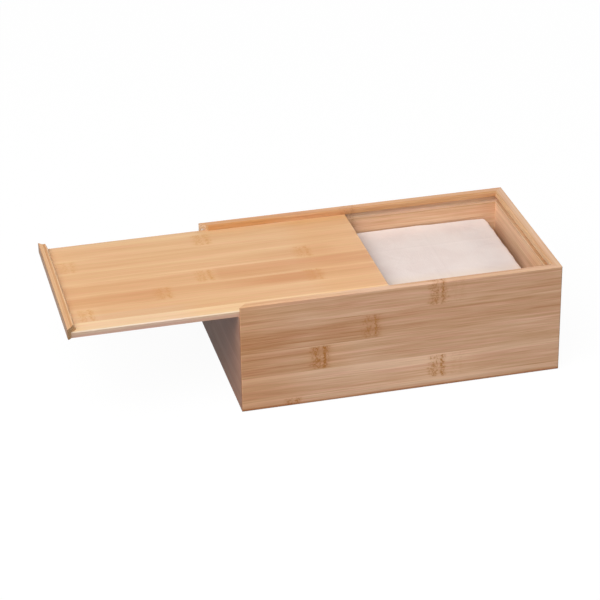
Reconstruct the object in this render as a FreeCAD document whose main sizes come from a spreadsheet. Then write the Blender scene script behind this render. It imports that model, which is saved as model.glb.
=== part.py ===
import FreeCAD, Part
import math
import os

import Sketcher

# A bamboo tissue box that stands on its slotted face, with its sliding panel uppermost
# and drawn half out to the left, as it is when the tissues are put in.
#
# Four boards of one section, mitred at the corners, make the frame. The left board is
# sawn through at the height of the groove: its lower part stays in the frame, and its
# upper part is the pull strip on the end of the sliding panel.
#
# +X runs along the box away from the pull strip, +Y from its front to its back, +Z up.
# The origin is under the middle of the whole, with the panel drawn out as it is here.

SIZES = {
    # the frame and the section of its boards
    "box_length": 245.0,
    "box_width": 145.0,
    "box_height": 86.6,
    "wall_thickness": 6.5,
    "lip_height": 4.2,
    "groove_height": 4.8,
    "groove_depth": 3.5,
    "rebate_depth": 3.5,
    "edge_radius": 1.2,
    "corner_radius": 0.9,
    "arris_radius": 0.4,
    "lip_rounding": 1.0,
    # the slotted board that closes the face the tissues are pulled through
    "board_thickness": 5.0,
    "board_gap": 0.1,
    "slot_length": 150.0,
    "slot_width": 36.0,
    "slot_rounding": 1.6,
    # the sliding panel
    "panel_out": 124.3,
    "panel_thickness": 4.5,
    "panel_side_gap": 0.7,
    "panel_end_gap": 2.0,
    "panel_rounding": 0.8,
    "running_gap": 0.15,
    # the pull strip across the panel's end
    "strip_proud": 0.6,
    "strip_width": 7.3,
    "strip_bevel": 2.2,
    "strip_crest": 0.6,
    "strip_ramp": 1.3,
    "strip_step": 0.8,
    "strip_rounding": 1.6,
    "mitre_gap": 0.5,
    # the stack of tissues, by what it leaves free inside the frame
    "stack_pull_gap": 13.4,
    "stack_closed_gap": 8.6,
    "stack_front_gap": 12.8,
    "stack_back_gap": 1.2,
    "stack_headroom": 12.2,
    "stack_corner": 5.0,
    "stack_rounding": 2.0,
    "stack_clearance": 0.3,
}

document = FreeCAD.newDocument("TissueBox")
sheet = document.addObject("Spreadsheet::Sheet", "sizes")
for row, (alias, number) in enumerate(SIZES.items(), start=1):
    sheet.set(f"A{row}", alias)
    sheet.set(f"B{row}", str(number))
    sheet.setAlias(f"B{row}", alias)
document.recompute()


class Size:
    """A length held twice: as a number to draw with, and as the expression it is bound to."""

    def __init__(self, number, text):
        self.number = number
        self.text = text

    def __add__(self, other):
        other = as_size(other)
        return Size(self.number + other.number, f"({self.text} + {other.text})")

    def __sub__(self, other):
        other = as_size(other)
        return Size(self.number - other.number, f"({self.text} - {other.text})")

    def __mul__(self, factor):
        return Size(self.number * factor, f"({self.text} * {factor!r})")

    def __neg__(self):
        return self * -1


def as_size(value):
    """A Size as it is, or a bare number as a Size."""
    return value if isinstance(value, Size) else Size(value, repr(value))


def cell(alias):
    """The Size of one cell of the sheet."""
    return Size(float(sheet.get(alias)), f"sizes.{alias}")


ZERO = as_size(0.0)
CLEAR = as_size(5.0)  # how far a cutting outline reaches past the board that it cuts

box_length = cell("box_length")
box_width = cell("box_width")
box_height = cell("box_height")
wall = cell("wall_thickness")
corner_radius = cell("corner_radius")
arris = cell("arris_radius")
board_thickness = cell("board_thickness")
panel_out = cell("panel_out")

# Places that several pieces share.
shell = wall - cell("groove_depth")  # what is left of a board outside its groove
groove_top = box_height - cell("lip_height")
groove_floor = groove_top - cell("groove_height")
rebate_side = wall - cell("rebate_depth")
panel_base = groove_floor + cell("running_gap")
panel_top = panel_base + cell("panel_thickness")
box_left = (panel_out - box_length) * 0.5
box_right = box_left + box_length
box_front = -box_width * 0.5
box_back = box_width * 0.5


# Sketches ------------------------------------------------------------------------------

def origin_plane(body, role):
    """One of a body's own base planes, such as XY_Plane."""
    return next(plane for plane in body.Origin.OriginFeatures if plane.Role == role)


def new_sketch(body, name, role):
    """An empty sketch on one of the body's own base planes."""
    sketch = body.newObject("Sketcher::SketchObject", name)
    sketch.AttachmentSupport = [(origin_plane(body, role), "")]
    sketch.MapMode = "FlatFace"
    return sketch


def pin_point(sketch, edge, end, point):
    """Bind one end of an edge to a place, each coordinate by its own expression."""
    for kind, value in zip(("DistanceX", "DistanceY"), point):
        index = sketch.addConstraint(Sketcher.Constraint(kind, edge, end, value.number))
        sketch.setExpression(f"Constraints[{index}]", value.text)


def step_towards(corner, neighbour, radius):
    """The point a radius away from a square corner, on its edge to the neighbour."""
    moved = []
    for here, there in zip(corner, neighbour):
        gap = there.number - here.number
        if abs(gap) < 1e-9:
            moved.append(here)
        else:
            moved.append(here + radius if gap > 0 else here - radius)
    return tuple(moved)


def straight(start, end):
    """A straight edge of an outline."""
    return start, end, None, None


def rounding(corner, before, after, radius):
    """The quarter arc that rounds a square corner of an outline."""
    start = step_towards(corner, before, radius)
    end = step_towards(corner, after, radius)
    centre = tuple(a + b - c for a, b, c in zip(start, end, corner))
    return start, end, centre, radius


def outline(corners):
    """The edges of a closed outline, from corners given as (x, y) or (x, y, radius)."""
    places = [corner[:2] for corner in corners]
    edges = []
    rounded = {}
    for i, corner in enumerate(corners):
        if len(corner) == 3:
            after = places[(i + 1) % len(places)]
            rounded[i] = rounding(places[i], places[i - 1], after, corner[2])
    for i, place in enumerate(places):
        following = (i + 1) % len(places)
        if i in rounded:
            edges.append(rounded[i])
        start = rounded[i][1] if i in rounded else place
        end = rounded[following][0] if following in rounded else places[following]
        edges.append(straight(start, end))
    return edges


def draw(sketch, edges):
    """Draw a closed outline: each end bound to its place, and each arc to its radius."""
    first = sketch.GeometryCount
    flat = [[FreeCAD.Vector(x.number, y.number, 0) for x, y in edge[:2]] for edge in edges]
    joints = []
    for (start, end), (_, _, centre, radius) in zip(flat, edges):
        if centre is None:
            sketch.addGeometry(Part.LineSegment(start, end), False)
            joints.append((1, 2))
            continue
        middle = FreeCAD.Vector(centre[0].number, centre[1].number, 0)
        circle = Part.Circle(middle, FreeCAD.Vector(0, 0, 1), radius.number)
        start_angle = math.atan2(start.y - middle.y, start.x - middle.x)
        end_angle = math.atan2(end.y - middle.y, end.x - middle.x)
        anticlockwise = (end_angle - start_angle) % (2 * math.pi) < math.pi
        span = (start_angle, end_angle) if anticlockwise else (end_angle, start_angle)
        sketch.addGeometry(Part.ArcOfCircle(circle, *span), False)
        joints.append((1, 2) if anticlockwise else (2, 1))
    for i, edge in enumerate(edges):
        following = (i + 1) % len(edges)
        link = (first + i, joints[i][1], first + following, joints[following][0])
        sketch.addConstraint(Sketcher.Constraint("Coincident", *link))
        pin_point(sketch, first + i, joints[i][0], edge[0])
        if edge[3] is not None:
            round_edge = Sketcher.Constraint("Radius", first + i, edge[3].number)
            index = sketch.addConstraint(round_edge)
            sketch.setExpression(f"Constraints[{index}]", edge[3].text)


# Features ------------------------------------------------------------------------------

def new_body(name):
    """A body whose label is the name of its file."""
    body = document.addObject("PartDesign::Body", name)
    body.Label = name
    return body


def pad(body, sketch, length):
    """Raise a sketch along its normal."""
    feature = body.newObject("PartDesign::Pad", f"{body.Name}_pad")
    feature.Profile = sketch
    feature.Length = length.number
    feature.setExpression("Length", length.text)
    document.recompute()
    return feature


def pocket_up(body, sketch):
    """Cut a sketch of the XY plane upwards through the whole piece."""
    before = body.Shape.Volume
    feature = body.newObject("PartDesign::Pocket", f"{body.Name}_{sketch.Name}_cut")
    feature.Profile = sketch
    feature.Type = "ThroughAll"
    feature.Reversed = True
    document.recompute()
    if body.Shape.Volume >= before - 1e-6:
        raise RuntimeError(f"{feature.Name} removes nothing")
    return feature


def round_edges(body, chosen, radius):
    """Fillet the edges of the body that the test picks by the box each lies in."""
    base = body.Tip
    names = [
        f"Edge{number}"
        for number, edge in enumerate(base.Shape.Edges, start=1)
        if chosen(edge.BoundBox)
    ]
    feature = body.newObject("PartDesign::Fillet", f"{body.Name}_rounding_{len(body.Group)}")
    feature.Base = (base, names)
    feature.Radius = radius.number
    feature.setExpression("Radius", radius.text)
    document.recompute()
    return feature


def place(body, x, y, z, turn=0.0):
    """Put the body's own origin at a point of the whole, turned about Z by some degrees."""
    turned = FreeCAD.Rotation(FreeCAD.Vector(0, 0, 1), turn)
    body.Placement = FreeCAD.Placement(FreeCAD.Vector(x.number, y.number, z.number), turned)
    for axis, value in zip("xyz", (x, y, z)):
        body.setExpression(f"Placement.Base.{axis}", value.text)


# Frame boards --------------------------------------------------------------------------
# A board's own X runs along it, its Y inwards from its outer face, and its Z up.

def mitre_outline(length, from_far_end, gap):
    """What a mitre takes off one end of a board, seen from above: all outside the 45 degree
    line and outside the rounded corner of the frame, whose arc ends on that line."""
    def along(x):
        return length - x if from_far_end else x

    tip = corner_radius * (1 - math.sqrt(0.5))
    past = wall + CLEAR
    arc_start = (along(corner_radius + gap), ZERO)
    arc_end = (along(tip + gap), tip)
    centre = (along(corner_radius + gap), corner_radius)
    inner = (along(past + gap), past)
    outer_back = (along(-CLEAR), past)
    outer_front = (along(-CLEAR), -CLEAR)
    return_point = (along(corner_radius + gap), -CLEAR)
    return [
        (arc_start, arc_end, centre, corner_radius),
        straight(arc_end, inner),
        straight(inner, outer_back),
        straight(outer_back, outer_front),
        straight(outer_front, return_point),
        straight(return_point, arc_start),
    ]


def mitred_bar(name, section, length, gap=ZERO):
    """A bar of one section, mitred towards its inner side at both ends."""
    body = new_body(name)
    profile = new_sketch(body, f"{name}_section", "YZ_Plane")
    draw(profile, outline(section))
    pad(body, profile, length)
    mitres = new_sketch(body, f"{name}_mitres", "XY_Plane")
    draw(mitres, mitre_outline(length, False, gap))
    draw(mitres, mitre_outline(length, True, gap))
    pocket_up(body, mitres)
    return body


def board_foot():
    """The lower part of every board's section, from its outer arris to the rebate's ledge."""
    return [
        (ZERO, ZERO, cell("edge_radius")),
        (rebate_side, ZERO),
        (rebate_side, board_thickness),
        (wall, board_thickness),
    ]


def full_board(name, length):
    """A board of full height, with the panel's groove under a lip softened on the inside."""
    section = board_foot() + [
        (wall, groove_floor),
        (shell, groove_floor),
        (shell, groove_top),
        (wall, groove_top),
        (wall, box_height, cell("lip_rounding")),
        (ZERO, box_height, arris),
    ]
    return mitred_bar(name, section, length)


def low_board(name, length):
    """The board that the panel slides over, sawn off level with the floor of the groove."""
    section = board_foot() + [
        (wall, groove_floor),
        (ZERO, groove_floor, arris),
    ]
    return mitred_bar(name, section, length)


# Pieces --------------------------------------------------------------------------------

def slot_board():
    """The board that fills the rebate, with a long round-ended slot in its middle."""
    body = new_body("slot_board")
    inset = rebate_side + cell("board_gap")
    length = box_length - inset * 2
    width = box_width - inset * 2
    plan = new_sketch(body, "board_plan", "XY_Plane")
    draw(plan, outline([(ZERO, ZERO), (length, ZERO), (length, width), (ZERO, width)]))
    pad(body, plan, board_thickness)

    radius = cell("slot_width") * 0.5
    left = (length - cell("slot_length")) * 0.5 + radius
    right = length - left
    low = width * 0.5 - radius
    middle = width * 0.5
    high = width * 0.5 + radius
    slot = new_sketch(body, "slot", "XY_Plane")
    draw(slot, [
        straight((left, low), (right, low)),
        ((right, low), (right + radius, middle), (right, middle), radius),
        ((right + radius, middle), (right, high), (right, middle), radius),
        straight((right, high), (left, high)),
        ((left, high), (left - radius, middle), (left, middle), radius),
        ((left - radius, middle), (left, low), (left, middle), radius),
    ])
    pocket_up(body, slot)
    reach = length.number * 0.5 - 1e-3

    def on_slot_rim(box):
        level = box.ZLength < 1e-6
        inside = abs(box.Center.x - length.number / 2) < reach
        return level and inside and low.number - 1e-3 < box.Center.y < high.number + 1e-3

    round_edges(body, on_slot_rim, cell("slot_rounding"))
    place(body, box_left + inset, box_front + inset, ZERO)


def sliding_panel():
    """The panel that runs in the grooves, its upper edges eased."""
    body = new_body("sliding_panel")
    length = box_length - shell * 2 - cell("panel_end_gap")
    inset = shell + cell("panel_side_gap")
    width = box_width - inset * 2
    thickness = cell("panel_thickness")
    plan = new_sketch(body, "panel_plan", "XY_Plane")
    draw(plan, outline([(ZERO, ZERO), (length, ZERO), (length, width), (ZERO, width)]))
    pad(body, plan, thickness)

    def on_free_top_edge(box):
        on_top = box.ZMin > thickness.number - 1e-6
        return on_top and box.XMax > 1e-3

    round_edges(body, on_free_top_edge, cell("panel_rounding"))
    place(body, box_left - panel_out + shell, box_front + inset, panel_base)


def pull_strip():
    """The sawn-off top of the left board: it sits over the panel's end, a little proud of
    the rims, steps down along its outer half as a finger catch, and leans back on its
    inner side."""
    strip_width = cell("strip_width")
    crest_inner = strip_width - cell("strip_bevel")
    crest_outer = crest_inner - cell("strip_crest")
    ramp_foot = crest_outer - cell("strip_ramp")
    strip_top = box_height + cell("strip_proud")
    catch = strip_top - cell("strip_step")
    section = [
        (ZERO, panel_base, cell("strip_rounding")),
        (shell, panel_base),
        (shell, panel_top),
        (strip_width, panel_top),
        (crest_inner, strip_top),
        (crest_outer, strip_top),
        (ramp_foot, catch),
        (ZERO, catch, arris),
    ]
    body = mitred_bar("pull_strip", section, box_width, cell("mitre_gap"))
    place(body, box_left - panel_out, box_back, ZERO, -90)


def tissue_stack():
    """The folded tissues as one soft block, lying on the slotted board."""
    body = new_body("tissue_stack")
    left = box_left + wall + cell("stack_pull_gap")
    front = box_front + wall + cell("stack_front_gap")
    base = board_thickness + cell("stack_clearance")
    length = box_right - wall - cell("stack_closed_gap") - left
    width = box_back - wall - cell("stack_back_gap") - front
    height = groove_floor - cell("stack_headroom") - base
    corner = cell("stack_corner")
    plan = new_sketch(body, "stack_plan", "XY_Plane")
    draw(plan, outline([
        (ZERO, ZERO, corner),
        (length, ZERO, corner),
        (length, width, corner),
        (ZERO, width, corner),
    ]))
    pad(body, plan, height)
    round_edges(body, lambda box: box.ZLength < 1e-6, cell("stack_rounding"))
    place(body, left, front, base)


front_wall = full_board("front_wall", box_length)
place(front_wall, box_left, box_front, ZERO)
back_wall = full_board("back_wall", box_length)
place(back_wall, box_right, box_back, ZERO, 180)
right_end_wall = full_board("right_end_wall", box_width)
place(right_end_wall, box_right, box_front, ZERO, 90)
left_end_wall = low_board("left_end_wall", box_width)
place(left_end_wall, box_left, box_back, ZERO, -90)
slot_board()
sliding_panel()
pull_strip()
tissue_stack()
document.recompute()

for item in document.Objects:
    if "Invalid" in item.State or "Error" in item.State:
        raise RuntimeError(f"{item.Name} did not build: {item.State}")

os.makedirs("parts", exist_ok=True)
pieces = [item for item in document.Objects if item.TypeId == "PartDesign::Body"]
for piece in pieces:
    shape = piece.Shape
    if shape.isNull() or not shape.isValid() or len(shape.Solids) != 1:
        raise RuntimeError(f"{piece.Label} is not one valid solid")
for piece in pieces:
    piece.Shape.exportStep(f"parts/{piece.Label}.step")
    print(f"{piece.Label}: {piece.Shape.Volume / 1000:.2f} cm3")
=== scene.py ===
# %% [markdown]
# # A bamboo tissue box with a sliding panel
# The CAD model already holds every board at its true size: four mitred walls, the slotted board in
# their rebate, the panel in its groove, and the pull strip glued on the panel's end. A scene could
# model them again, but then the two would drift apart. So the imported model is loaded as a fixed
# frame, its boards only get their finish, and the stack of tissues is the one thing made anew.

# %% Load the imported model
from dataclasses import dataclass

import bpy
import numpy as np
from mathutils import Matrix, Vector


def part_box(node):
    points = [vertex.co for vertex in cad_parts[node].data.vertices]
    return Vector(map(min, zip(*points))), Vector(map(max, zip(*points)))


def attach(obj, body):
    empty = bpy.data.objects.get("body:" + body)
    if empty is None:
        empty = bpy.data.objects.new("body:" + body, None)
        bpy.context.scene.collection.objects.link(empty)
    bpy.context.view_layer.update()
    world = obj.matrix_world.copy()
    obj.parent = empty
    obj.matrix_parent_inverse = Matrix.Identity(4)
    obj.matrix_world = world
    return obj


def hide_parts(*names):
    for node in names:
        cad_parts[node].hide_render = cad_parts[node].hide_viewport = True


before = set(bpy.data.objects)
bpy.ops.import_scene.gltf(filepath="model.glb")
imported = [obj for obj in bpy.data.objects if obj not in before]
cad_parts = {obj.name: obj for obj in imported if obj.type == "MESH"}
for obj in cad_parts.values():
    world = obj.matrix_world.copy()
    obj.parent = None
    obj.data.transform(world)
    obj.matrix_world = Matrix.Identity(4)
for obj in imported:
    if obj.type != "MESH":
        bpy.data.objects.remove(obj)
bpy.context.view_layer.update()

MM = 0.001
print("nodes:", ", ".join(sorted(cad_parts)))

# %% [markdown]
# ## Shader maths in plain Python
# A material is a graph of nodes. Joined by hand, a formula such as 1 - (a * b) takes three nodes and
# five lines. Wrapping a socket in a small class whose operators add the Math nodes lets the formula
# be written as it is read. Everything that isn't arithmetic comes from one method, which takes the
# node's type, its settings and the values or links of its sockets.

# %% A socket that takes part in arithmetic
class Wire:
    """One output socket of a material. Each operator adds one Math node and returns its output."""

    def __init__(self, finish, socket):
        self.finish = finish
        self.socket = socket

    def joined(self, operation, first, second=0.0):
        return self.finish.node("Math", {"operation": operation}, {0: first, 1: second})

    def __add__(self, other):
        return self.joined("ADD", self, other)

    def __radd__(self, other):
        return self.joined("ADD", other, self)

    def __sub__(self, other):
        return self.joined("SUBTRACT", self, other)

    def __rsub__(self, other):
        return self.joined("SUBTRACT", other, self)

    def __mul__(self, other):
        return self.joined("MULTIPLY", self, other)

    def __rmul__(self, other):
        return self.joined("MULTIPLY", other, self)

    def __truediv__(self, other):
        return self.joined("DIVIDE", self, other)

    def __rtruediv__(self, other):
        return self.joined("DIVIDE", other, self)

    def __abs__(self):
        return self.joined("ABSOLUTE", self)

    def floor(self):
        return self.joined("FLOOR", self)

    def at_most(self, other):
        return self.joined("MINIMUM", self, other)

    def at_least(self, other):
        return self.joined("MAXIMUM", self, other)

    def rise(self, low, high):
        """0 up to low, 1 from high on, and a smooth slope between them. High before low falls."""
        first, last = (0.0, 1.0) if low < high else (1.0, 0.0)
        return self.finish.node(
            "MapRange", {"interpolation_type": "SMOOTHSTEP", "clamp": True},
            {"Value": self, "From Min": min(low, high), "From Max": max(low, high),
             "To Min": first, "To Max": last})


# %% A material or a world that hands out its own nodes
class Finish:
    """The nodes of owner. node() adds any node; the rest are the ones used again and again."""
    colour_socket = 2  # the Mix node's outputs are a number, a vector and a colour

    def __init__(self, owner):
        self.owner = owner
        owner.use_nodes = True
        self.tree = owner.node_tree
        self.tree.nodes.clear()

    def node(self, kind, settings=None, inputs=None, output=0):
        made = self.tree.nodes.new("ShaderNode" + kind)
        for name, value in (settings or {}).items():
            if name == "stops":
                fill_ramp(made.color_ramp, value)
            else:
                setattr(made, name, value)
        for key, value in (inputs or {}).items():
            if isinstance(value, Wire):
                self.tree.links.new(value.socket, made.inputs[key])
            else:
                made.inputs[key].default_value = value
        return Wire(self, made.outputs[output]) if made.outputs else None

    def place_mm(self):
        """The point's own x, y and z on the object, in millimetres."""
        place = self.node("TexCoord", output="Object")
        return [self.node("SeparateXYZ", None, {0: place}, axis) * (1.0 / MM) for axis in "XYZ"]

    def point(self, x, y, z):
        return self.node("CombineXYZ", None, {0: x, 1: y, 2: z})

    def noise(self, x, y, z, detail=2.0, roughness=0.5):
        """Smooth noise about 0.5 whose spots are one unit of x, y and z across."""
        return self.node(
            "TexNoise", {"noise_dimensions": "3D"},
            {"Vector": self.point(x, y, z), "Scale": 1.0, "Detail": detail,
             "Roughness": roughness})

    def blend(self, share, first, second):
        """The first colour where share is 0 and the second where it is 1."""
        return self.node(
            "Mix", {"data_type": "RGBA"}, {0: share, 6: first, 7: second}, self.colour_socket)

    def tinted(self, share, colour, tint):
        """The colour where share is 0, and the colour times the tint, at most 1, where it is 1."""
        return self.node(
            "Mix", {"data_type": "RGBA", "blend_type": "MULTIPLY", "clamp_result": True},
            {0: share, 6: colour, 7: (*tint, 1.0)}, self.colour_socket)

    def seen(self):
        """1 for what the camera sees, itself or by way of a shiny or a clear surface."""
        return sum(self.node("LightPath", output=f"Is {kind} Ray")
                   for kind in ("Camera", "Glossy", "Transmission")).at_most(1.0)


def fill_ramp(ramp, stops):
    """stops is (interpolation, [(position, (r, g, b, a)), ...])."""
    ramp.interpolation, listed = stops
    while len(ramp.elements) > 1:
        ramp.elements.remove(ramp.elements[-1])
    ramp.elements[0].position = listed[0][0]
    ramp.elements[0].color = listed[0][1]
    for position, colour in listed[1:]:
        ramp.elements.new(position).color = colour


def shade(red, green, blue):
    """A colour given as it looks on a screen, 0 to 255, turned into the light it reflects."""
    screen = np.array([red, green, blue]) / 255.0
    light = np.where(screen <= 0.04045, screen / 12.92, ((screen + 0.055) / 1.055) ** 2.4)
    return (*light.tolist(), 1.0)


def scaled(colour, factor):
    """The colour made darker or lighter, its last part kept."""
    return (*(part * factor for part in colour[:3]), 1.0)


# %% [markdown]
# ## Bamboo board
# A bamboo board isn't one piece of wood. The cane is split, planed into flat strips about 20 mm wide,
# and glued edge to edge, so a board shows parallel strips of slightly different tone. Each strip is
# pale near its glue lines and browner in its middle, has long straight fibres, and crosses a joint of
# the cane now and then: a knuckle, where the fibres curl into a small patch of brown flecks.
#
# One picture stretched over the board would slide on the edges. Here the pattern is a function of the
# place inside the board: along the grain, across the strips and through the thickness. A face cut
# anywhere shows what lies there, so the fibres run on over an edge and turn to dots on the end grain.
#
# A colour ramp with constant steps is used as a small list: by the strip's number it gives the places
# of the strip's two knuckles and its tone, and its alpha says how the tone changes past the first.

# %% One strip of a board
@dataclass
class Strip:
    """A strip of cane in a board, as a joiner would describe it.

    tone runs from 0, dark, to 1, light. knuckles are the places along the board, in millimetres, of
    up to two joints of the cane, and marks say how strongly each shows. The strip darkens on its way
    to a knuckle by the share in before, and is lighter by change past the first one. slope is how
    much lighter its high side is than its low side.
    """
    tone: float
    knuckles: tuple = ()
    marks: tuple = ()
    before: tuple = ()
    change: float = 0.0
    slope: float = 0.0


def two(values):
    """The values as a pair, with 0 for what is missing."""
    return (*values, 0.0, 0.0)[:2]


# %% The places that a board's pattern reads
class Cane(Finish):
    """The nodes of one board, with the wires that every part of its pattern starts from.

    directions names the axes along the grain, across the strips and through the board, as in "XZY".
    Strip n lies from first_joint + n * strip_width on, in millimetres.
    """

    def __init__(self, name, directions, first_joint, strip_width, seed):
        super().__init__(bpy.data.materials.new(name))
        self.place = dict(zip("XYZ", self.place_mm()))
        self.grain_axis = directions[0]
        self.along, self.across, self.through = (self.place[axis] for axis in directions)

        # The number of the strip, the place inside it from -0.5 to 0.5, and how far from its middle.
        steps = (self.across - first_joint) / strip_width
        self.number = steps.floor()
        self.inside = steps - self.number - 0.5
        self.off_middle = abs(self.inside)

        # Every strip has fibres of its own, so the noise is moved far away from strip to strip.
        self.own = self.number * 17.3 + seed

    def listed(self, rows):
        """Four values of the strip, from a colour ramp that holds one row for each strip."""
        stops = [(n / len(rows), row) for n, row in enumerate(rows)]
        ramp = self.node(
            "ValToRGB", {"stops": ("CONSTANT", stops)}, {0: (self.number + 0.5) / len(rows)})
        parts = [self.node("SeparateColor", None, {0: ramp}, part)
                 for part in ("Red", "Green", "Blue")]
        return parts + [Wire(self, ramp.socket.node.outputs["Alpha"])]


# %% The fibres
def fibres(cane):
    """The place across, bent, and the noise of bands about 4, 1 and 0.3 mm wide that is read there.

    A place divided by n gives spots n millimetres long that way. The fibres wander sideways by about
    half a millimetre.
    """
    along, through, own = cane.along, cane.through, cane.own
    wander = cane.noise(along / 110.0, cane.across / 20.0, own, detail=1.0)
    bent = cane.across + (wander - 0.5) * 2.0
    broad = cane.noise(along / 130.0, bent / 4.2 + own, through / 4.2, detail=2.0)
    streak = cane.noise(along / 60.0 + own, bent / 1.2, through / 1.2, detail=3.0, roughness=0.6)
    fine = cane.noise(along / 24.0, bent / 0.34 + own, through / 0.34, detail=2.0)
    return bent, broad, streak, fine


# %% The knuckles
def knuckles(cane, pasts, marks, depths):
    """How strongly the knuckles' brown shows, and how much the strip darkens on its way to them.

    At a knuckle the fibres curl. What is left on the planed face is a patch of thin curls, which
    are the places where a slow noise crosses its middle. It frays out along the fibres, on either
    side of a crooked line. pasts says how many millimetres a point lies past each knuckle.
    """
    along, across, through, own = cane.along, cane.across, cane.through, cane.own
    fray = (cane.noise(along / 14.0 + own, across / 1.5, through / 1.5, detail=1.0) - 0.5) * 14.0
    crook = (cane.noise(along / 9.0, across / 2.2 + own, through / 2.2, detail=2.0) - 0.5) * 5.0
    curl = cane.noise(along / 2.4 + own, across / 3.4, through / 3.4, detail=2.0, roughness=0.6)
    curled = abs(curl - 0.5).rise(0.085, 0.01) * 0.75 + 0.25

    def brown(past, mark):
        """The brown of one knuckle: a curly patch on either side of the crooked line, and the line."""
        bent_past = past + crook
        patch = (past + fray).rise(-9.0, -3.0) * (bent_past - fray * 0.4).rise(8.0, 3.0)
        either_side = abs(bent_past - 0.5).rise(0.4, 1.8) * 0.6 + 0.4
        line = abs(bent_past - 3.0).rise(1.2, 0.3) * mark * 0.45
        return (patch * either_side * curled + line) * cane.off_middle.rise(0.5, 0.40) * mark

    def shadow(past, depth):
        """The slow darkening on the way to a knuckle, which ends at it."""
        ending = (past + crook * 1.6 + fray * 0.5).rise(9.0, -5.0)
        return past.rise(-95.0, 0.0) * ending * cane.off_middle.rise(0.56, 0.2) * depth

    flecks = sum(map(brown, pasts, marks)).at_most(1.0)
    return flecks, sum(map(shadow, pasts, depths))


# %% The end grain
def end_grain(cane, side, dark, light, tint):
    """The colour of the sides, and that of the end grain where the surface faces along the grain.

    End grain drinks the finish and turns darker, with the fibre ends as dots.
    """
    facing = cane.node("TexCoord", output="Normal")
    share = abs(cane.node("SeparateXYZ", None, {0: facing}, cane.grain_axis)).rise(0.5, 0.69)
    dots = cane.noise(
        cane.along / 9.0, cane.across / 0.5, cane.through / 0.5, detail=2.0, roughness=0.7)
    ends = cane.blend(dots.rise(0.35, 0.65), scaled(dark, 0.8), light)
    return cane.blend(share * 0.8, side, cane.tinted(1.0, ends, tint))


# %% Stains and painted light and shade
FADE_ALONG, FADE_ACROSS = 14.0, 0.15


def add_stains_and_painted_light(cane, colour, stains_and_painted_light):
    """The colour times the tint of each stain, or patch of painted light or shade, that the point lies
    in.

    Each is (ranges, tint), and the ranges are lowest and highest places by axis. It fades over twice
    the lengths above, which is 28 mm along the grain and 0.3 mm across it.
    """
    for ranges, tint in stains_and_painted_light:
        within = 1.0
        for axis, (low, high) in ranges.items():
            fade = FADE_ALONG if axis == cane.grain_axis else FADE_ACROSS
            within = within * (cane.place[axis].rise(low - fade, low + fade)
                               * cane.place[axis].rise(high + fade, high - fade))
        colour = cane.tinted(within, colour, tint)
    return colour


# %% The whole finish, on a board of the frame
KNUCKLE_BROWN = shade(172, 112, 62)


def finish_board(node_name, directions, run, first_joint, strip_width, strips, dark, light, seed,
                 fleck=KNUCKLE_BROWN, streaks=(0.45, 0.60, 0.34), gloss=0.20, roughness=0.45,
                 end_tint=(0.72, 0.72, 0.72), pale_edges=0.20, stains_and_painted_light=()):
    """Put bamboo glued up from strips on a board.

    run is the stretch along the grain that may hold knuckles, as its start and its length. dark and
    light are the colours of tone 0 and 1, and fleck is the brown of the knuckles' curled fibres.
    streaks says how much the tone varies in bands of about 4, 1 and 0.3 mm. end_tint multiplies the
    colour on the end grain, and pale_edges is how much lighter a strip is beside its neighbours.
    Cane and the function that lays on stains and painted light say what the other values are. All
    lengths are in millimetres.
    """
    cane = Cane(node_name + "_bamboo", directions, first_joint, strip_width, seed)
    start, reach = run

    def share(knuckle):
        return (knuckle - start) / reach

    knuckle_1, knuckle_2, tone, change = cane.listed(
        [(*map(share, two(strip.knuckles)), strip.tone, 0.5 + strip.change) for strip in strips])
    mark_1, mark_2, before_1, before_2 = cane.listed(
        [(*two(strip.marks), *two(strip.before)) for strip in strips])
    slope = cane.listed([(0.5 + strip.slope, 0.0, 0.0, 1.0) for strip in strips])[0]

    bent, broad, streak, fine = fibres(cane)
    past_1 = cane.along - (knuckle_1 * reach + start)
    past_2 = cane.along - (knuckle_2 * reach + start)
    flecks, shadow = knuckles(cane, (past_1, past_2), (mark_1, mark_2), (before_1, before_2))

    # The tone is that of the strip, and varies past the knuckle, from side to side and in bands.
    banded, streaked, fibred = streaks
    paleness = cane.noise(cane.along / 70.0, cane.number * 3.0 + 0.5, seed, detail=1.0)
    pale = paleness.rise(0.3, 0.65) * pale_edges
    tone_here = (tone + (change - 0.5) * past_1.rise(4.0, 12.0) + (slope - 0.5) * cane.inside
                 + cane.off_middle.rise(0.22, 0.5) * pale
                 + banded * (broad - 0.5) + streaked * (streak - 0.5) + fibred * (fine - 0.5)
                 - shadow)

    # The joint between two strips is a faint dark line, darker here and there where it is open.
    open_joint = cane.noise(cane.along / 45.0, cane.number * 5.0, seed, detail=1.0).rise(0.50, 0.66)
    glue_line = cane.off_middle.rise(0.484, 0.499) * (open_joint * 0.30 + 0.06)
    body = cane.blend((tone_here - glue_line).at_least(0.0).at_most(1.0), dark, light)

    # Some fibres are a little pinker than others.
    blush = cane.noise(
        cane.along / 45.0, bent / 1.7 + cane.own, cane.through / 1.7, detail=2.0).rise(0.42, 0.66)
    side = cane.blend(flecks, cane.tinted(blush, body, (1.02, 0.965, 1.01)), fleck)
    colour = add_stains_and_painted_light(cane, end_grain(cane, side, dark, light, end_tint), stains_and_painted_light)

    height = streak * 0.5 + fine * 0.35 - flecks * 0.10
    bump = cane.node("Bump", None, {"Strength": 0.35, "Distance": 0.12 * MM, "Height": height})
    surface = cane.node(
        "BsdfPrincipled", None,
        {"Base Color": colour, "Normal": bump, "Specular IOR Level": gloss,
         "Roughness": (fine - 0.5) * 0.25 + flecks * 0.08 + roughness})
    cane.node("OutputMaterial", None, {"Surface": surface})

    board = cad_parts[node_name]
    for slot in board.material_slots:
        slot.material = cane.owner
    print(node_name, "has", len(strips), "strips and", len(board.data.polygons), "faces")
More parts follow.
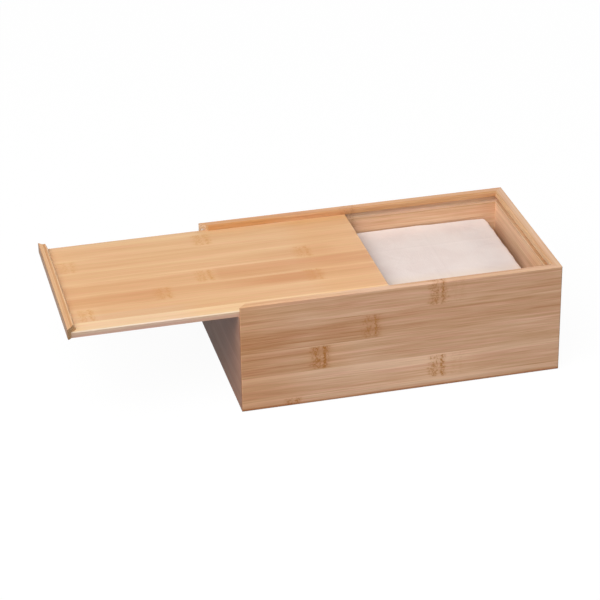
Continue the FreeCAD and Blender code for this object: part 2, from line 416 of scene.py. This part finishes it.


# %% [markdown]
# ## The boards
# Each board has its own run of strips. The tones and the knuckles are listed one by one, as a joiner
# would lay out the strips before gluing, because a purely random choice puts two dark strips or two
# knuckles side by side sooner or later and the eye goes there at once.
#
# The stains multiply a board's colour in ranges of places. Some stand for paler or darker stretches
# of wood. Most stand for light and shade that the lamps don't give, such as what boards throw on one
# another, and those in the grooves, at the bottom edge and on the pull strip's outer face are strong.
# The left end wall is darker throughout for the shade under the drawn panel. All this is part of the
# finish, so it moves with the board and stays in any light, also when the panel is closed.

# %% Lengths that the boards share
# The start and the length of the box along X, of the box along Y, and of the panel.
BOX_X = (-60.35, 245.0)
BOX_Y = (-72.5, 145.0)
PANEL_X = (-181.65, 237.0)
# Places outside the box, where a stain that runs over its edge ends.
PAST_LEFT, PAST_RIGHT, PAST_BACK, BELOW, ABOVE = -70.0, 190.0, 90.0, -1.0, 88.0

# %% The sliding panel
finish_board(
    "sliding_panel", "XYZ", PANEL_X, first_joint=-76.3, strip_width=19.7,
    strips=[
        Strip(0.80),
        Strip(0.50, knuckles=(-166.6,), marks=(0.55,), change=-0.08),
        Strip(0.29, knuckles=(-106.4, 8.0), marks=(0.60, 0.60), before=(0.14, 0.32)),
        Strip(0.33, knuckles=(-71.4,), marks=(0.65,), change=-0.17),
        Strip(0.44, knuckles=(8.0, 28.0), marks=(0.65, 0.0), before=(0.06, 0.12)),
        Strip(0.42, knuckles=(-168.0,), marks=(0.40,)),
        Strip(0.44, knuckles=(-61.8,), marks=(0.60,)),
        Strip(0.50),
    ],
    dark=shade(212, 149, 95), light=shade(249, 213, 162), fleck=shade(210, 146, 76), seed=4.0,
    streaks=(0.36, 0.46, 0.32), roughness=0.40, pale_edges=0.17,
    stains_and_painted_light=[
        # a painted highlight on the front arris, the narrow side below it darker and bluer, and the
        # lower part all round
        ({"Y": (-69.5, -68.0), "Z": (81.5, 83.0)}, (1.0, 1.2, 1.6)),
        ({"Y": (-69.5, -68.1), "Z": (76.0, 81.4)}, (0.84, 0.87, 1.13)),
        ({"Z": (76.0, 79.8)}, (0.96, 0.87, 0.89)),
        # painted shade on the panel beside the pull strip, and the end that is in the box warmer and
        # darker
        ({"X": (-210.0, -176.0), "Y": (-70.0, 35.0)}, (0.91, 0.90, 0.91)),
        ({"X": (8.0, 60.0)}, (0.98, 0.92, 0.82)),
        # the back edge, and a stretch along the front
        ({"Y": (64.5, 70.0)}, (1.0, 1.05, 1.13)),
        ({"Y": (67.7, 70.0)}, (1.01, 1.05, 1.10)),
        ({"X": (-176.0, -95.0), "Y": (-70.0, -47.0)}, (0.98, 1.01, 1.10)),
    ])

# %% The long walls
finish_board(
    "front_wall", "XZY", BOX_X, first_joint=-13.1, strip_width=20.25,
    strips=[
        Strip(0.64, knuckles=(-22.0,), marks=(0.8,)),
        Strip(0.64, knuckles=(89.7, 104.0), marks=(0.80, 0.15), slope=0.36),
        Strip(0.46, knuckles=(-0.4,), marks=(1.0,), before=(0.10,), change=0.12, slope=0.10),
        Strip(0.30, knuckles=(38.5,), marks=(0.75,), change=0.10, slope=0.20),
        Strip(0.50, knuckles=(89.5, 104.0), marks=(0.80, 0.15)),
    ],
    dark=shade(192, 134, 88), light=shade(242, 202, 168), fleck=shade(186, 124, 68), seed=11.0,
    streaks=(0.70, 1.10, 0.80),
    stains_and_painted_light=[
        # the rim: paler on top at the left with the face just below it darker, painted shade along its
        # inner edge beside the tissues, and warmer on its outer part at the right
        ({"X": (PAST_LEFT, 20.0), "Z": (86.45, ABOVE)}, (1.07, 1.09, 1.00)),
        ({"X": (PAST_LEFT, 20.0), "Z": (84.8, 86.3)}, (0.93, 0.88, 0.84)),
        ({"X": (55.0, PAST_RIGHT), "Y": (-69.4, -65.4), "Z": (85.0, ABOVE)}, (0.84, 0.74, 0.62)),
        ({"X": (98.0, PAST_RIGHT), "Y": (-72.0, -69.4), "Z": (85.0, ABOVE)}, (0.94, 0.91, 0.80)),
        # the bottom edge: a paler band above it, and painted shade on the rounded edge itself
        ({"Z": (2.7, 5.4)}, (1.03, 1.07, 1.10)),
        ({"Z": (BELOW, 2.7)}, (0.95, 0.90, 0.84)),
        ({"Z": (BELOW, 1.9)}, (0.74, 0.60, 0.50)),
        # the left end, and stretches of single strips
        ({"X": (PAST_LEFT, -44.0)}, (0.97, 0.93, 0.87)),
        ({"X": (PAST_LEFT, -22.0)}, (0.97, 0.94, 0.89)),
        ({"X": (25.0, 112.0), "Z": (6.0, 27.4)}, (1.07, 1.09, 1.12)),
        ({"X": (PAST_LEFT, -12.0), "Z": (BELOW, 27.4)}, (0.97, 0.93, 0.90)),
        ({"X": (62.0, 128.0), "Z": (6.0, 27.4)}, (1.05, 1.06, 1.07)),
        ({"X": (-14.0, 20.0), "Z": (27.4, 47.0)}, (0.97, 0.93, 0.86)),
    ])
finish_board(
    "back_wall", "XZY", BOX_X, first_joint=-9.0, strip_width=19.6,
    strips=[
        Strip(0.50, knuckles=(13.0,), marks=(0.8,)),
        Strip(0.60, knuckles=(116.0,), marks=(0.8,), change=-0.06),
        Strip(0.42, knuckles=(-24.0, 155.0), marks=(0.9, 0.7), change=0.10),
        Strip(0.55, knuckles=(30.0,), marks=(0.8,)),
        Strip(0.38, knuckles=(58.0,), marks=(0.4,)),
    ],
    dark=shade(198, 136, 85), light=shade(241, 195, 149), seed=23.0,
    # cut ends that come out paler than the face, unlike the other boards'
    streaks=(0.60, 1.00, 0.70), end_tint=(1.05, 1.35, 1.8),
    stains_and_painted_light=[
        # painted light on the inside face, and the lip over the groove darker and more orange
        ({"Y": (65.0, 66.6)}, (1.02, 1.17, 1.42)),
        ({"Y": (65.0, 67.2), "Z": (82.3, ABOVE)}, (0.92, 0.82, 0.67)),
        ({"X": (PAST_LEFT, 0.0), "Y": (65.0, 67.2), "Z": (82.3, ABOVE)}, (0.98, 0.90, 0.75)),
        # painted light in the groove, and painted shade on the edge of its lower shoulder
        ({"Y": (66.1, 70.5), "Z": (77.0, 82.5)}, (1.15, 1.45, 1.95)),
        ({"Y": (67.9, 70.5), "Z": (77.0, 80.6)}, (1.0, 1.12, 1.25)),
        ({"Y": (65.0, 67.7), "Z": (76.5, 78.0)}, (0.88, 0.85, 0.78)),
        # the rim
        ({"Z": (86.2, ABOVE)}, (1.0, 0.96, 0.90)),
        ({"X": (100.0, PAST_RIGHT), "Z": (86.2, ABOVE)}, (0.95, 0.93, 0.88)),
    ])

# %% The short walls and the pull strip
finish_board(
    "right_end_wall", "YZX", BOX_Y, first_joint=-14.0, strip_width=20.0,
    strips=[
        Strip(0.55, knuckles=(-29.0,), marks=(0.8,), change=0.05),
        Strip(0.45),
        Strip(0.60, knuckles=(22.0,), marks=(0.8,), change=-0.06),
        Strip(0.48),
        Strip(0.56),
    ],
    dark=shade(188, 131, 85), light=shade(233, 189, 147), seed=31.0,
    streaks=(0.60, 1.00, 0.70),
    stains_and_painted_light=[
        # painted light on the inside face and in the groove, the lip over the groove darker and more
        # orange, and painted shade on the groove's lower shoulder
        ({"X": (177.0, 178.75)}, (1.30, 1.54, 1.86)),
        ({"X": (177.0, 179.3), "Z": (82.3, ABOVE)}, (0.88, 0.82, 0.70)),
        ({"X": (178.3, 182.5), "Z": (77.0, 82.5)}, (1.12, 1.28, 1.40)),
        ({"X": (177.0, 180.2), "Z": (76.5, 78.0)}, (0.85, 0.85, 0.84)),
        # the inside beside the tissues: warmer near the front, and painted shade low down at the back,
        # where the tissues meet the wall
        ({"Y": (-60.0, -20.0), "Z": (50.0, 78.0)}, (0.97, 0.91, 0.82)),
        ({"Y": (2.0, PAST_BACK), "Z": (57.0, 62.5)}, (0.94, 0.91, 0.92)),
        ({"Y": (0.0, PAST_BACK), "Z": (30.0, 58.4)}, (0.90, 0.88, 0.88)),
        ({"Y": (8.0, PAST_BACK), "Z": (30.0, 56.2)}, (0.88, 0.85, 0.84)),
        # the rim, and a painted highlight along the outer half of its top
        ({"Z": (86.2, ABOVE)}, (0.93, 0.88, 0.80)),
        ({"X": (181.5, 183.4), "Z": (86.0, ABOVE)}, (1.03, 1.11, 1.22)),
    ])
finish_board(
    "left_end_wall", "YZX", BOX_Y, first_joint=-1.5, strip_width=19.5,
    strips=[
        Strip(0.45),
        Strip(0.56, knuckles=(36.0,), marks=(0.5,), change=0.05),
        Strip(0.50),
        Strip(0.46, knuckles=(-22.0,), marks=(0.5,), change=0.06),
        Strip(0.52),
    ],
    # dark and light are painted shade: the whole wall is darker than its neighbours for the shade
    # under the drawn panel
    dark=shade(143, 94, 68), light=shade(178, 137, 114), fleck=shade(136, 88, 56), seed=43.0,
    gloss=0.05,
    stains_and_painted_light=[
        # painted shade of the drawn panel on its strips, and painted light on the front end, where
        # light reaches in under the panel
        ({"Y": (-54.0, -8.0), "Z": (37.5, 80.0)}, (0.83, 0.82, 0.84)),
        ({"Y": (-50.0, 6.0), "Z": (18.0, 37.5)}, (0.89, 0.87, 0.88)),
        ({"Y": (-80.0, -30.0)}, (1.0, 0.97, 0.93)),
        ({"Y": (-90.0, -62.0)}, (1.12, 1.11, 1.08)),
    ])
finish_board(
    "pull_strip", "YXZ", BOX_Y, first_joint=-184.9, strip_width=1.65,
    # narrow strips for the bevel, crest and ramp, partly of their own tone
    # the dark strip is partly painted shade on the ramp, the light one partly a painted highlight on
    # the crest
    strips=[Strip(0.48), Strip(0.50), Strip(0.06), Strip(0.85), Strip(0.45)],
    dark=shade(200, 146, 96), light=shade(248, 208, 160), seed=57.0, end_tint=(1.0, 1.0, 1.0),
    stains_and_painted_light=[
        # painted shade on the outer face
        ({"X": (-190.0, -184.3)}, (0.56, 0.48, 0.44)),
    ])

# %% The slotted board
finish_board(
    "slot_board", "XYZ", BOX_X, first_joint=-80.0, strip_width=20.0,
    strips=[
        Strip(0.50, knuckles=(-11.0,), marks=(0.8,)),
        Strip(0.60, knuckles=(101.0,), marks=(0.8,), change=-0.05),
        Strip(0.42, knuckles=(-36.0,), marks=(0.9,), change=0.08),
        Strip(0.55),
        Strip(0.46, knuckles=(167.0,), marks=(0.8,), change=-0.05),
        Strip(0.58, knuckles=(33.0,), marks=(0.6,)),
        Strip(0.50, knuckles=(135.0,), marks=(0.8,), change=0.05),
        Strip(0.54),
    ],
    dark=shade(202, 146, 100), light=shade(240, 200, 158), seed=71.0)

# %% [markdown]
# ## The tissues
# A refill is a pile of tissues, each folded once and tucked into the next. Seen from above it is one
# soft white sheet with faint creases, never quite level, whose edges waver. Seen from the side it is a
# pile of rounded folds. A block with a paper colour has neither, and a simulated pile would take
# minutes for edges that hardly show, so every folded tissue is a thin closed loop, drawn out along the
# pile and shifted a little, and the uppermost one is a finer sheet of its own.

# %% Measures of the pile, taken from the solid it stands for
pile_low, pile_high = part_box("tissue_stack")
pile_middle = (pile_low + pile_high) / 2
pile_size = pile_high - pile_low
print("pile in mm:", [round(v / MM, 1) for v in pile_size])


def add_mesh(name, points, faces, finish, smooth=True):
    """A new object at the origin from an array of points and a list of faces."""
    mesh = bpy.data.meshes.new(name)
    mesh.from_pydata(points.tolist(), [], faces)
    mesh.validate()
    mesh.polygons.foreach_set("use_smooth", np.full(len(mesh.polygons), smooth))
    mesh.materials.append(finish)
    piece = bpy.data.objects.new(name, mesh)
    bpy.context.scene.collection.objects.link(piece)
    return piece


def grid_faces(rows, columns, closed=False):
    """Four-sided faces between neighbouring points of a grid, stored row by row.

    With closed, the last column joins the first again.
    """
    row = np.arange(rows - 1)[:, None]
    column = np.arange(columns if closed else columns - 1)[None, :]
    following = (column + 1) % columns
    return np.stack(
        [row * columns + column, row * columns + following,
         (row + 1) * columns + following, (row + 1) * columns + column], axis=-1
    ).reshape(-1, 4)


# %% Paper
def paper(name, white, warm):
    """Soft paper: two close tones in slow clouds, short fibres, and fine crepe lines across.

    It is warmer towards the front, cooler along the back edge and greyer at the right end: painted
    light and shade, not the paper's own colour.
    """
    pulp = Finish(bpy.data.materials.new(name))
    x, y, z = pulp.place_mm()
    cloud = pulp.noise(x / 26.0, y / 26.0, z / 26.0, detail=3.0)
    fibre = pulp.noise(x / 1.1, y / 3.2, z / 1.1, detail=3.0, roughness=0.65)
    crepe = pulp.noise(x / 0.45, y / 6.0, z / 0.6, detail=1.0)
    share = cloud.rise(0.38, 0.62) * 0.6 + (fibre - 0.5) * 0.5 + 0.2
    colour = pulp.blend(share.at_least(0.0).at_most(1.0), white, warm)
    # Painted light and shade: cooler along the back edge, warmer at the front, greyer at the right
    # end.
    colour = pulp.tinted(y.rise(52.0, 64.0), colour, (0.99, 1.04, 1.06))
    colour = pulp.tinted(y.rise(-12.0, -30.0), colour, (1.0, 0.96, 0.88))
    colour = pulp.tinted(x.rise(130.0, 156.0), colour, (0.93, 0.945, 0.96))
    bump = pulp.node(
        "Bump", None,
        {"Strength": 0.75, "Distance": 0.25 * MM, "Height": fibre * 0.6 + crepe * 0.4})
    surface = pulp.node(
        "BsdfPrincipled", None,
        {"Base Color": colour, "Roughness": 0.92, "Normal": bump, "Specular IOR Level": 0.15,
         "Sheen Weight": 0.12, "Sheen Roughness": 0.6})
    pulp.node("OutputMaterial", None, {"Surface": surface})
    return pulp.owner


paper_finish = paper("tissue_paper", shade(249, 235, 228), shade(243, 226, 219))


# %% Waves, humps and flattened waves
def waves(t, terms):
    """The sum of size * sin(rate * t + phase) over the terms, each of them (size, rate, phase)."""
    return sum(size * np.sin(rate * t + phase) for size, rate, phase in terms)


def hump(t, middle, width):
    """1 at the middle, running out over about twice the width on either side, as a bell does."""
    return np.exp(-((t - middle) / width) ** 2)


def flattened(wave, power):
    """A wave between -1 and 1 whose tops a power below 1 makes broad and flat."""
    return np.sign(wave) * np.abs(wave) ** power


# %% The folded tissues of the pile
SECTION_POINTS = 28
# What the pile leaves free of its solid at the top, at each end and at each side.
TOP_ROOM, END_ROOM, SIDE_ROOM = 0.9 * MM, 1.0 * MM, 1.3 * MM
# The share of its height that a tissue fills, the share of its length where its cut ends begin, and
# by how much they are pinched, as cut edges lie closer together than a fold.
FILLED, CUT_END, PINCHED = 0.985, 0.985, 0.45


def folded_tissues(count, length_steps, seed):
    """A pile of flat loops, as an array by tissue, by step along it and by point of its section.

    The section of one tissue is two level lines joined by two half rounds, which is a rounded bar
    seen end on: y = half width * cos(a) stretched flat, z = half height * sin(a) with both raised
    to a small power. It is drawn along x, where a slow sum of sines moves the fold in and out by a
    fraction of a millimetre, and each tissue is shifted by a small random amount.
    """
    random = np.random.default_rng(seed)
    turn = np.linspace(0.0, 2 * np.pi, SECTION_POINTS, endpoint=False)
    section_y, section_z = flattened(np.cos(turn), 0.16), flattened(np.sin(turn), 0.55)

    pitch = (pile_high.z - TOP_ROOM - pile_low.z) / count
    which = np.arange(count)[:, None, None]
    share = np.linspace(-1.0, 1.0, length_steps)[None, :, None]
    shift = random.uniform(-0.5, 0.5, (count, 2, 1, 1)) * MM
    phase = random.uniform(0, 2 * np.pi, (count, 3, 1, 1))
    waver = waves(
        share, [(0.35, 2.0, phase[:, 0]), (0.18, 5.0, phase[:, 1]), (0.08, 11.0, phase[:, 2])])
    pinch = 1.0 - PINCHED * np.clip((np.abs(share) - CUT_END) / (1.0 - CUT_END), 0, 1)

    half_length = pile_size.x / 2 - END_ROOM
    half_width = pile_size.y / 2 - SIDE_ROOM + waver * MM
    half_height = FILLED * pitch / 2 * pinch
    x = pile_middle.x + shift[:, 0] + share * half_length
    y = pile_middle.y + shift[:, 1] + half_width * section_y
    z = pile_low.z + (which + 0.5) * pitch + half_height * section_z
    return np.stack(np.broadcast_arrays(x, y, z), axis=-1)


def loop_ends(rows, columns, offset):
    """One many-sided face on either end of a closed grid."""
    first = np.arange(columns)[::-1] + offset
    last = np.arange(columns) + offset + (rows - 1) * columns
    return [first.tolist(), last.tolist()]


pile_points = folded_tissues(count=26, length_steps=44, seed=5)
tissue_count, rows, columns, _ = pile_points.shape
one_tissue = grid_faces(rows, columns, closed=True)
pile_faces = []
for n in range(tissue_count):
    offset = n * rows * columns
    pile_faces += (one_tissue + offset).tolist() + loop_ends(rows, columns, offset)
tissue_pile = add_mesh("tissue_pile", pile_points.reshape(-1, 3), pile_faces, paper_finish)
print("the pile has", tissue_count, "tissues and", len(pile_faces), "faces")


# %% The wrinkles of a sheet
def wrinkles(across, down, count, random):
    """The height of short bent wrinkles, in millimetres, at places in millimetres.

    A wrinkle is a hump along its own heading, longer than it is wide, whose middle line is bent to
    a parabola. Each runs about along x or about along y, by chance.
    """
    height = 0.0
    for _ in range(count):
        middle_x, middle_y = random.uniform(40.0, 165.0), random.uniform(-50.0, 62.0)
        heading = random.normal(0.0, 0.5) + np.pi / 2 * random.integers(2)
        run = (across - middle_x) * np.cos(heading) + (down - middle_y) * np.sin(heading)
        side = (down - middle_y) * np.cos(heading) - (across - middle_x) * np.sin(heading)
        side = side + 0.02 * run ** 2 * random.normal()
        rise, length, width = (
            random.uniform(-0.16, 0.20), random.uniform(6.0, 16.0), random.uniform(1.0, 2.2))
        height = height + rise * hump(run, 0.0, length) * hump(side, 0.0, width)
    return height


# %% The uppermost tissue
SHEET_INSET, DROP_START = 0.2 * MM, 2.2 * MM


def top_sheet(steps_x, steps_y, wrinkle_count, seed):
    """The uppermost sheet, as a height over x and y, for u and v from -1 to 1 over the solid's top.

    The height is the solid's top plus slow swells, a low ridge where the sheet was folded each way,
    short bent wrinkles and one place where the back edge stands off the pile, less a drop that grows
    with the square of the distance past the pile's rounded edge. The edges waver by a few tenths of
    a millimetre, and the back one steps in where the sheet slants.
    """
    random = np.random.default_rng(seed)
    u = np.linspace(-1.0, 1.0, steps_x)[None, :]
    v = np.linspace(-1.0, 1.0, steps_y)[:, None]
    half_x = pile_size.x / 2 - SHEET_INSET
    half_y = pile_size.y / 2 - SHEET_INSET
    waver_x = waves(v, [(0.10, 3.1, 0.6), (0.16, 9.0, 2.0), (0.12, 23.0, 0.0)])
    waver_y = waves(u, [(0.18, 9.0, 1.0), (0.10, 31.0, 0.0)])
    edge_x = half_x + (waver_x + 0.4 * hump(v, 0.86, 0.09) - 0.32) * MM
    edge_y = half_y + (waver_y + 0.35 * np.tanh((0.55 - u) * 20.0) - 0.1) * MM
    x = pile_middle.x + u * edge_x
    y = pile_middle.y + v * edge_y

    across, down = x / MM, y / MM
    swell = (0.35 * np.sin(across / 19.0 + 1.3 * np.sin(down / 27.0))
             + 0.25 * np.sin(down / 14.0 + 0.9 * np.sin(across / 33.0))
             + 0.12 * np.sin(across / 6.1 + down / 8.3))
    ridge = 0.16 * hump(down, 28.5, 1.3) + 0.12 * hump(across, 113.0, 1.3)
    lift = 0.55 * hump(u, 0.30, 0.22) * np.clip((v - 0.5) / 0.4, 0.0, 1.0)
    past_x = np.clip((np.abs(u) * half_x - (half_x - DROP_START)) / MM, 0, None)
    past_y = np.clip((np.abs(v) * half_y - (half_y - DROP_START)) / MM, 0, None)
    drop = 0.14 * past_x ** 2 + 0.05 * past_y ** 2
    height = (0.4 * swell + ridge + wrinkles(across, down, wrinkle_count, random)
              + lift - drop - 0.05)
    return np.stack(np.broadcast_arrays(x, y, pile_high.z + height * MM), axis=-1)


sheet_points = top_sheet(260, 170, wrinkle_count=90, seed=8)
sheet_rows, sheet_columns = sheet_points.shape[:2]
top_tissue = add_mesh(
    "top_tissue", sheet_points.reshape(-1, 3), grid_faces(sheet_rows, sheet_columns).tolist(),
    paper_finish)
print("the uppermost tissue has", len(top_tissue.data.polygons), "faces")

# %% Its thickness, on the underside
thickness = top_tissue.modifiers.new("paper_thickness", "SOLIDIFY")
thickness.thickness = 0.2 * MM
thickness.offset = -1.0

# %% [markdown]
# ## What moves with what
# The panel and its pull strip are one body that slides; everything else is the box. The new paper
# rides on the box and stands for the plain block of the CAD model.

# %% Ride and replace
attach(tissue_pile, "box")
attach(top_tissue, "box")
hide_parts("tissue_stack")

# %% [markdown]
# ## Studio
# The box stands on a plain pale floor. One large soft lamp hangs high in front of it on the left, a
# weaker one stands low behind it on the right, and a faint one fills the front, so the level faces are
# the brightest and the front is about half as bright. The end under the drawn panel looks shaded
# mostly because shade is painted into the colour of its wall. For the camera the floor is white with
# the object's shadow left in it; for the light that bounces off it, it is a plain pale grey.

# %% Floor
FLOOR_HEIGHT = -0.2 * MM


def studio_floor(half_size):
    """A square floor that the camera sees as white and the light as plain pale grey."""
    corners = np.array([[-1, -1, 0], [1, -1, 0], [1, 1, 0], [-1, 1, 0]]) * half_size
    corners[:, 2] = FLOOR_HEIGHT
    paint = Finish(bpy.data.materials.new("studio_floor"))
    matte = paint.node("BsdfDiffuse", None, {"Color": (0.25, 0.25, 0.25, 1.0)})
    shown = paint.node("Emission", None, {"Strength": 1.2})
    mixed = paint.node("MixShader", None, {0: paint.seen() * 0.8, 1: matte, 2: shown})
    paint.node("OutputMaterial", None, {"Surface": mixed})
    return add_mesh("studio_floor", corners, [[0, 1, 2, 3]], paint.owner, smooth=False)


studio_floor(8.0)

# %% Surrounding light
bpy.context.scene.world = bpy.data.worlds.new("studio_air")
air = Finish(bpy.context.scene.world)
sky_for_light, sky_as_seen = (
    air.node("Background", None, {"Color": (1.0, 1.0, 1.0, 1.0), "Strength": strength})
    for strength in (0.04, 1.0))
either_sky = air.node("MixShader", None, {0: air.seen(), 1: sky_for_light, 2: sky_as_seen})
air.node("OutputWorld", None, {"Surface": either_sky})


# %% Lamps
LIT_POINT = Vector((0.0, 0.0, 0.04))


def soft_lamp(name, place, size, watts):
    """A square white lamp of size metres at place that faces the middle of the object."""
    lamp = bpy.data.lights.new(name, "AREA")
    lamp.shape = "SQUARE"
    lamp.size, lamp.energy = size, watts
    holder = bpy.data.objects.new(name, lamp)
    holder.location = place
    holder.rotation_euler = (LIT_POINT - Vector(place)).to_track_quat("-Z", "Y").to_euler()
    bpy.context.scene.collection.objects.link(holder)
    print(name, "gives", watts, "watts from a square of", size, "metres")


soft_lamp("lamp_key", (-0.95, -1.05, 1.81), size=1.9, watts=60.0)
soft_lamp("lamp_behind", (1.42, 2.03, 0.80), size=1.6, watts=22.0)
soft_lamp("lamp_fill", (0.63, -2.36, 0.89), size=1.6, watts=6.0)

# %% [markdown]
# ## Camera
# A long lens far away keeps the edges nearly parallel. The camera stands to the left of the front,
# looks down by about 28 degrees, and leans by just under one degree.

# %% Where the camera stands, and its three directions
# The place that it looks at and its distance from there are in millimetres.
turned, raised, lean = np.radians([-13.54, 27.70, -0.90])
CAMERA_AIM, CAMERA_DISTANCE = Vector((6.2712, 17.4904, 38.2923)), 1767.77
ahead = Vector((-np.sin(turned) * np.cos(raised), np.cos(turned) * np.cos(raised), -np.sin(raised)))
right = ahead.cross(Vector((0, 0, 1))).normalized()
up = right.cross(ahead)
camera_x = right * np.cos(lean) + up * np.sin(lean)
camera_y = up * np.cos(lean) - right * np.sin(lean)
stand = (CAMERA_AIM - ahead * CAMERA_DISTANCE) * MM
print("camera stands at", [round(v, 3) for v in stand])

# %% Camera
lens = bpy.data.cameras.new("camera")
lens.sensor_width = 36.0
lens.lens = 138.5
lens.clip_start, lens.clip_end = 0.1, 60.0
camera = bpy.data.objects.new("camera", lens)
camera.matrix_world = Matrix(
    [[camera_x[n], camera_y[n], -ahead[n], stand[n]] for n in range(3)] + [[0, 0, 0, 1]])
bpy.context.scene.collection.objects.link(camera)
bpy.context.scene.camera = camera
bpy.context.scene.view_settings.view_transform = "Standard"

# %% [markdown]
# ## Size
# The finish must not make the box larger. The script ends by bringing the scene up to date.

# %% Bring the scene up to date
bpy.context.view_layer.update()
